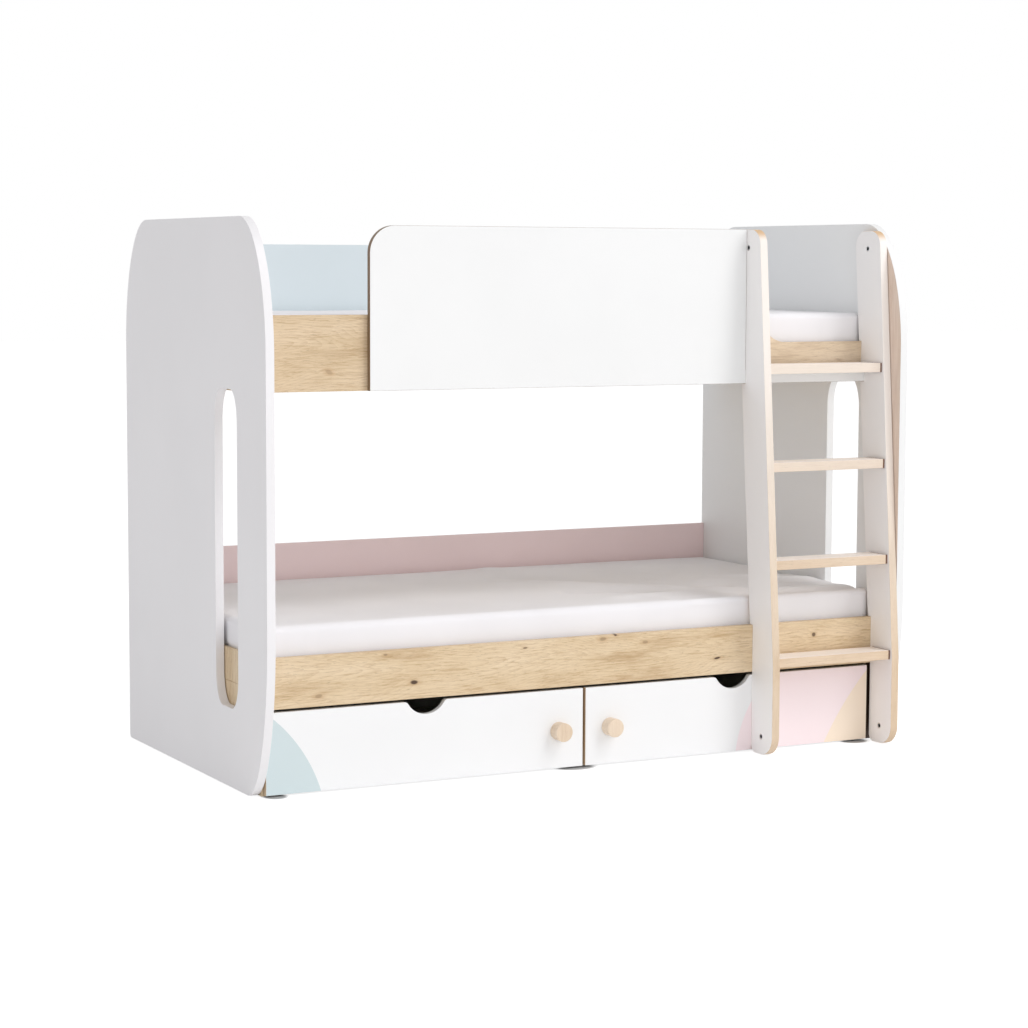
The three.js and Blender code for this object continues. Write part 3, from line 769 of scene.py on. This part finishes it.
knob_radius, knob_neck, knob_length, knob_round = 0.0268, 0.0263, 0.038, 0.003
shoulder_height = knob_length * 0.65
face_dome, middle_dome = 0.0006, 0.001
knob_profile = [
    (0, 0), (knob_neck, 0),
    *curve_between((knob_neck, 0), (knob_neck, knob_length * 0.45), (knob_radius, shoulder_height), 8),
    (knob_radius, knob_length - knob_round),
    *curve_between((knob_radius, knob_length - knob_round), (knob_radius, knob_length),
                   (knob_radius - knob_round, knob_length), 6),
    (knob_radius * 0.5, knob_length + face_dome), (0, knob_length + middle_dome),
]

row_middle, notch_offset, knob_offset, knob_height = -0.015, 0.502, 0.084, 0.1135
end_band = 3
for side, sign, face in (("left", -1, left_front), ("right", 1, right_front)):
    name = f"drawer_{side}"
    low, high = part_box(f"{name}_front")
    notch = row_middle + sign * notch_offset
    board = cut_board(f"{name}_front", [drawer_front_outline(low, high, notch)], "y", low.y, high.y,
                      [white_board, white_board, face, drawer_band_oak])
    for polygon in board.data.polygons:
        # The front's two upright ends show their oak band
        if abs(polygon.normal.x) > 0.95 and not low.x + ease < polygon.center.x < high.x - ease:
            polygon.material_index = end_band
    for plank in ("side_left", "side_right", "back"):
        finish_plank(f"{name}_{plank}", white_board, 0.0008)
    finish_plank(f"{name}_bottom", grey_board, 0.0005)
    centre = (row_middle + sign * knob_offset, low.y - gap, knob_height)
    lathe(f"{name}_knob", knob_profile, (0, -1, 0), centre, [knob_wood])

# Connector caps: plated discs with a dish in the middle, painted near black as shade in the hole

cap_rim, dish_radius, dish_depth, dish_taper = 0.0006, 0.0056, 0.005, 0.0003
cap_profile = [
    (0, 0), (cap_radius, 0), (cap_radius, cap_depth - cap_rim), (cap_radius - cap_rim, cap_depth),
    (dish_radius + dish_taper, cap_depth), (dish_radius, cap_depth - cap_rim),
    (dish_radius - dish_taper, cap_depth - dish_depth), (0, cap_depth - dish_depth),
]
cap_parts = [0] * 5 + [1] * 2
for side in ("left", "right"):
    board_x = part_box(f"ladder_side_{side}")[0].x
    for end, (depth, height) in cap_places.items():
        centre = (board_x + cap_depth, front + depth, height)
        lathe(f"connector_cap_{side}_{end}", cap_profile, (-1, 0, 0), centre,
              [cap_metal, socket_painted_shade], cap_parts, 36)

# Castors: half of a wheel's profile, from its bore to the middle of its tread

half_profile = [
    (0.0034, 0.008), (0.008, 0.008), (0.0085, 0.0075), (0.010, 0.005), (0.0145, 0.005),
    (0.0155, 0.0072), (0.0168, 0.008), (0.0185, 0.0078), (0.0196, 0.0062), (0.020, 0.004),
]
wheel_profile = [(radius, -along) for radius, along in half_profile] + half_profile[::-1]
# The material of each stretch of the profile: 0 is the tyre, 1 the hub
wheel_parts = [1] * 5 + [0] * 9 + [1] * 5
for side in ("left", "right"):
    for end in ("front", "back"):
        for hand in ("left", "right"):
            node = f"drawer_{side}_wheel_{end}_{hand}"
            low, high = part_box(node)
            lathe(node, wheel_profile, (1, 0, 0), (low + high) / 2, [tyre_rubber, hub_plastic], wheel_parts)
            finish_plank(f"drawer_{side}_bracket_{end}_{hand}", castor_steel, 0.0003)

# Planks of the frame

finish_plank("lower_front_rail", lower_rail_oak)
finish_plank("lower_back_panel", pink_board)
finish_plank("upper_back_panel", blue_board)
for side, oak in (("left", end_oak), ("right", shaded_oak)):
    for plank in ("base_board", "lower_end_rail", "upper_end_rail"):
        finish_plank(f"{plank}_{side}", oak)
for level in ("lower", "upper"):
    for plank in ("front_ledger", "back_ledger"):
        finish_plank(f"{level}_{plank}", long_pine)

# Slat bases: rounded pine slats on two webbing tapes

slat_count, slat_width, slat_thickness, slat_chamfer = 14, 0.070, 0.015, 0.003
tape_width, tape_half_thickness, tape_chamfer = 0.025, 0.0012, 0.0005
tape_places = (0.22, 0.78)


def add_block(points, faces, indices, low, high, part, chamfer):
    """A block whose four edges along Y are chamfered, added to a piece under construction."""
    start = len(points)
    (low_x, low_y, low_z), (high_x, high_y, high_z) = low, high
    ring = [
        (low_x + chamfer, low_z), (high_x - chamfer, low_z), (high_x, low_z + chamfer),
        (high_x, high_z - chamfer), (high_x - chamfer, high_z), (low_x + chamfer, high_z),
        (low_x, high_z - chamfer), (low_x, low_z + chamfer),
    ]
    for y in (low_y, high_y):
        points.extend((x, y, z) for x, z in ring)
    count = len(ring)
    for i in range(count):
        a, b = start + i, start + (i + 1) % count
        faces.append((a, b, b + count, a + count))
    faces.append(tuple(start + i for i in reversed(range(count))))
    faces.append(tuple(start + count + i for i in range(count)))
    indices.extend([part] * (count + 2))


for level in ("lower", "upper"):
    node = f"{level}_slat_base"
    low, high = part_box(node)
    points, faces, indices = [], [], []
    pitch = (high.x - low.x - slat_width) / (slat_count - 1)
    slat_top = low.z + slat_thickness
    for i in range(slat_count):
        x = low.x + i * pitch
        add_block(points, faces, indices, (x, low.y, low.z), (x + slat_width, high.y, slat_top),
                  0, slat_chamfer)
    for share in tape_places:
        y = low.y + (high.y - low.y) * share
        add_block(points, faces, indices,
                  (low.x + slat_width / 2, y - tape_width / 2, slat_top - tape_half_thickness),
                  (high.x - slat_width / 2, y + tape_width / 2, slat_top + tape_half_thickness),
                  1, tape_chamfer)
    stand_for(new_piece(f"{node}_look", points, faces, [pine, webbing], indices), node)


# Mattresses: foam blocks in fitted sheets

edge_radius, squeeze, draw_in = 0.021, 0.011, 0.004
flat_spacing, side_spacing = 0.014, 0.011


def lattice(half, spacing, steps=6):
    """Places of the grid lines along one side, closer together at its two rounded ends."""
    inner = half - edge_radius
    count = max(2, round(2 * inner / spacing))
    left = [-half + edge_radius * i / steps for i in range(steps)]
    middle = [-inner + 2 * inner * i / count for i in range(count + 1)]
    return left + middle + [-value for value in reversed(left)]


def smooth_step(value, low, high):
    share = min(max((value - low) / (high - low), 0), 1)
    return share * share * (3 - 2 * share)


# Soft folds on top: both ends, as places along the bed and behind its front edge, then height and
# width. A hollow between two folds has a height below zero.
sheet_folds = [
    ((0.14, 0.90), (0.66, 0.45), 0.0090, 0.045),
    ((0.10, 0.74), (0.62, 0.27), -0.0190, 0.047),
    ((0.00, 0.53), (0.60, 0.16), 0.0090, 0.040),
    ((0.12, 0.30), (0.52, 0.23), -0.0170, 0.038),
    ((0.16, 0.11), (0.48, 0.15), 0.0065, 0.030),
    ((0.62, 0.74), (0.95, 0.62), 0.0090, 0.042),
    ((0.60, 0.58), (0.95, 0.49), -0.0130, 0.042),
    ((0.60, 0.36), (0.95, 0.30), 0.0070, 0.036),
    ((0.60, 0.19), (0.95, 0.17), -0.0120, 0.030),
    ((-0.60, 0.80), (-0.10, 0.84), 0.0050, 0.060),
    ((0.34, 0.05), (0.98, 0.05), -0.0110, 0.020),
    ((0.36, 0.00), (0.98, 0.00), 0.0050, 0.018),
]


def distance_to_stretch(x, y, first, second):
    """How far a point is from a straight stretch between two others."""
    point, start, end = Vector((x, y)), Vector(first), Vector(second)
    share = (point - start).dot(end - start) / (end - start).length_squared
    return (point - start - (end - start) * min(max(share, 0), 1)).length


# The sheet's own unevenness: how high its swells, ripples, tucks low down and gathers at corners are
swell_size, ripple_size, tuck_size, gather_size = 0.0016, 0.0010, 0.0022, 0.0035
# How closely each of them follows the next
swell_rate, ripple_rate, tuck_rate, gather_rate = 2.0, 5.0, 16.0, 45.0
corner_reach = 0.14


def sheet_relief(place, normal, half, seed, folds):
    """How far the sheet stands proud of the foam at a place on it."""
    along = Vector((place.x * 1.3, place.y * 1.3, seed))
    relief = swell_size * noise.noise(along * swell_rate)
    relief += ripple_size * noise.noise(along * ripple_rate)
    behind_edge = place.y + half.y
    for first, second, height, width in folds:
        off_line = distance_to_stretch(place.x, behind_edge, first, second)
        relief += height * math.exp(-(off_line / width) ** 2) * max(normal.z, 0)
    side = 1 - abs(normal.z)
    low_share = smooth_step(-place.z, -half.z * 0.6, half.z * 0.9)
    run = place.x if abs(normal.y) > abs(normal.x) else place.y
    tuck = noise.noise(Vector((run * tuck_rate, seed * 3.1, place.z * 1.5)))
    relief += side * low_share * tuck_size * tuck
    corner_distance = math.hypot(half.x - abs(place.x), half.y - abs(place.y))
    corner = math.exp(-corner_distance / corner_reach)
    gather = noise.noise(Vector((run * gather_rate, seed, place.z * 8.0)))
    relief += corner * gather_size * gather * (0.35 + 0.65 * side)
    return relief


def sheeted_place(raw, half, seed, crown, plump, folds):
    """Where a point of a block's surface lies on the rounded, sheeted mattress."""
    inner = Vector([min(max(value, edge_radius - h), h - edge_radius) for value, h in zip(raw, half)])
    normal = (raw - inner).normalized()
    place = inner + normal * edge_radius
    share_x = max(1 - (place.x / half.x) ** 2, 0)
    share_y = max(1 - (place.y / half.y) ** 2, 0)
    moved = place + normal * sheet_relief(place, normal, half, seed, folds)
    if normal.z > 0:
        moved.z += crown * normal.z * share_x ** 0.35 * share_y ** 0.5
        moved.z += plump * normal.z
    moved.y -= math.copysign(draw_in, place.y) * abs(normal.y) * share_x ** 0.5
    moved.x -= math.copysign(draw_in, place.x) * abs(normal.x) * share_y ** 0.5
    return moved


def make_mattress(node, seed, crown, plump, folds, held_below=None):
    """A grid over all six sides of a foam block, whose ends are squeezed between rails below a height."""
    low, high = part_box(node)
    slack = 0.001
    half = (high - low) / 2
    half = Vector((half.x - slack, half.y - slack, half.z - crown / 2))
    centre = (low + high) / 2 - Vector((0, 0, crown / 2))
    lines = [lattice(half.x, flat_spacing), lattice(half.y, flat_spacing), lattice(half.z, side_spacing)]
    counts = [len(line) - 1 for line in lines]
    index_of = {}
    points = []

    def vertex(key):
        if key not in index_of:
            raw = Vector([line[i] for line, i in zip(lines, key)])
            moved = sheeted_place(raw, half, seed, crown, plump, folds)
            limit = half.x - squeeze - gap * 2
            if held_below is not None and abs(moved.x) > limit:
                held = 1 - smooth_step(centre.z + moved.z, held_below, held_below + squeeze)
                moved.x = moved.x * (1 - held) + math.copysign(limit, moved.x) * held
            index_of[key] = len(points)
            points.append(centre + moved)
        return index_of[key]

    faces = []
    for axis, first, second in ((0, 1, 2), (1, 2, 0), (2, 0, 1)):
        for end in (0, counts[axis]):
            for i in range(counts[first]):
                for j in range(counts[second]):
                    quad = []
                    for di, dj in ((0, 0), (1, 0), (1, 1), (0, 1)):
                        key = [0, 0, 0]
                        key[axis], key[first], key[second] = end, i + di, j + dj
                        quad.append(vertex(tuple(key)))
                    faces.append(tuple(quad if end else reversed(quad)))
    piece = new_piece(f"{node}_look", points, faces, [bed_sheet], None, 180)
    stand_for(piece, node)


make_mattress("lower_mattress", seed=1.7, crown=0.007, plump=0.0, folds=sheet_folds,
              held_below=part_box("lower_end_rail_left")[1].z)
make_mattress("upper_mattress", seed=5.3, crown=0.003, plump=-0.003, folds=[])


# Floor, world, lamps and camera


def camera_sees(graph, other, shown):
    """Mixes two shaders: one for what the camera and reflections see, the other for the light they give."""
    path = graph.node("ShaderNodeLightPath").outputs
    seen = graph.maths("MAXIMUM", path["Is Camera Ray"], path["Is Glossy Ray"])
    seen = graph.maths("MAXIMUM", seen, path["Is Transmission Ray"])
    return graph.node("ShaderNodeMixShader", {0: seen, 1: other, 2: shown}).outputs[0]


reach = 40.0
below_feet = 0.0004
floor_mesh = bpy.data.meshes.new("floor")
floor_mesh.from_pydata(
    [(-reach, -reach, 0), (reach, -reach, 0), (reach, reach, 0), (-reach, reach, 0)], [], [(0, 1, 2, 3)])
floor = bpy.data.objects.new("floor", floor_mesh)
floor.location.z = -below_feet
bpy.context.scene.collection.objects.link(floor)

# Soft contact shades under the drawers' ends: the middle of each in X and Y, and half its length
contact_shades = ((-0.968, -0.452, 0.042), (-0.035, -0.450, 0.075), (0.928, -0.455, 0.055))
shade_half_depth = 0.045
floor_look = bpy.data.materials.new("floor")
graph = Graph(floor_look)
bounce = graph.node("ShaderNodeBsdfDiffuse", {"Color": (0.97, 0.97, 0.97, 1)}).outputs[0]
shaded = graph.node("ShaderNodeBsdfDiffuse", {"Color": (0.42, 0.42, 0.42, 1)}).outputs[0]
floor_place = graph.node("ShaderNodeTexCoord").outputs["Object"]
glow = 0.80
for shade_x, shade_y, half_length in contact_shades:
    offset = graph.vector("SUBTRACT", floor_place, (shade_x, shade_y, 0))[0]
    spread = graph.vector("MULTIPLY", offset, (1 / half_length, 1 / shade_half_depth, 0))[0]
    distance = graph.vector("LENGTH", spread)["Value"]
    glow = graph.maths("MULTIPLY", graph.between(distance, 0.55, 1.0), glow)
shining = graph.node("ShaderNodeEmission", {"Strength": glow}).outputs[0]
both = graph.node("ShaderNodeAddShader", {0: shaded, 1: shining}).outputs[0]
graph.node("ShaderNodeOutputMaterial", {"Surface": camera_sees(graph, bounce, both)})
floor_mesh.materials.append(floor_look)
floor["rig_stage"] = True

world = bpy.data.worlds.new("studio")
bpy.context.scene.world = world
graph = Graph(world)
ambient = graph.node("ShaderNodeBackground", {"Color": (1.0, 0.992, 1.0, 1), "Strength": 0.62}).outputs[0]
backdrop = graph.node("ShaderNodeBackground", {"Color": (1, 1, 1, 1), "Strength": 1.0}).outputs[0]
graph.node("ShaderNodeOutputWorld", {"Surface": camera_sees(graph, ambient, backdrop)})

lamp_tint = (1.0, 0.99, 0.985)


def add_lamp(name, towards, target, distance, width, height, power):
    """A soft box that stands off a point in some direction and shines on it."""
    lamp = bpy.data.lights.new(name, "AREA")
    lamp.shape = "RECTANGLE"
    lamp.size = width
    lamp.size_y = height
    lamp.energy = power
    lamp.color = lamp_tint
    holder = bpy.data.objects.new(name, lamp)
    direction = Vector(towards).normalized()
    holder.location = Vector(target) + direction * distance
    holder.rotation_mode = "QUATERNION"
    holder.rotation_quaternion = direction.to_track_quat("Z", "Y")
    bpy.context.scene.collection.objects.link(holder)


bed_middle = (0, -0.3, 0.8)
add_lamp("key", (0.75, -1.0, 1.75), bed_middle, 20.0, 8.0, 4.5, 640)
add_lamp("wide_key", (0.80, -1.0, 0.78), bed_middle, 20.0, 9.0, 14.0, 880)
add_lamp("fill", (-0.75, -3.6, 0.2), (0.2, -0.4, 0.8), 4.5, 1.2, 1.8, 18)

# The camera's place and its own axes, worked out from the bed's straight edges
camera_place = Vector((-3.564697, -6.909024, 1.439220))
camera_right = Vector((0.88924094, -0.45742339, 0.0037944))
camera_up = Vector((0.04032138, 0.08664283, 0.99542313))
camera_back = Vector((-0.45565858, -0.885018, 0.09549029))
camera_data = bpy.data.cameras.new("camera")
camera_data.sensor_width = 36.0
camera_data.lens = 90.573
camera_data.clip_start = 0.1
camera_data.clip_end = 200.0
camera = bpy.data.objects.new("camera", camera_data)
axes = Matrix((camera_right, camera_up, camera_back)).transposed()
camera.matrix_world = Matrix.Translation(camera_place) @ axes.to_4x4()
bpy.context.scene.collection.objects.link(camera)
bpy.context.scene.camera = camera
bpy.context.scene.view_settings.view_transform = "Standard"

low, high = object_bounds()
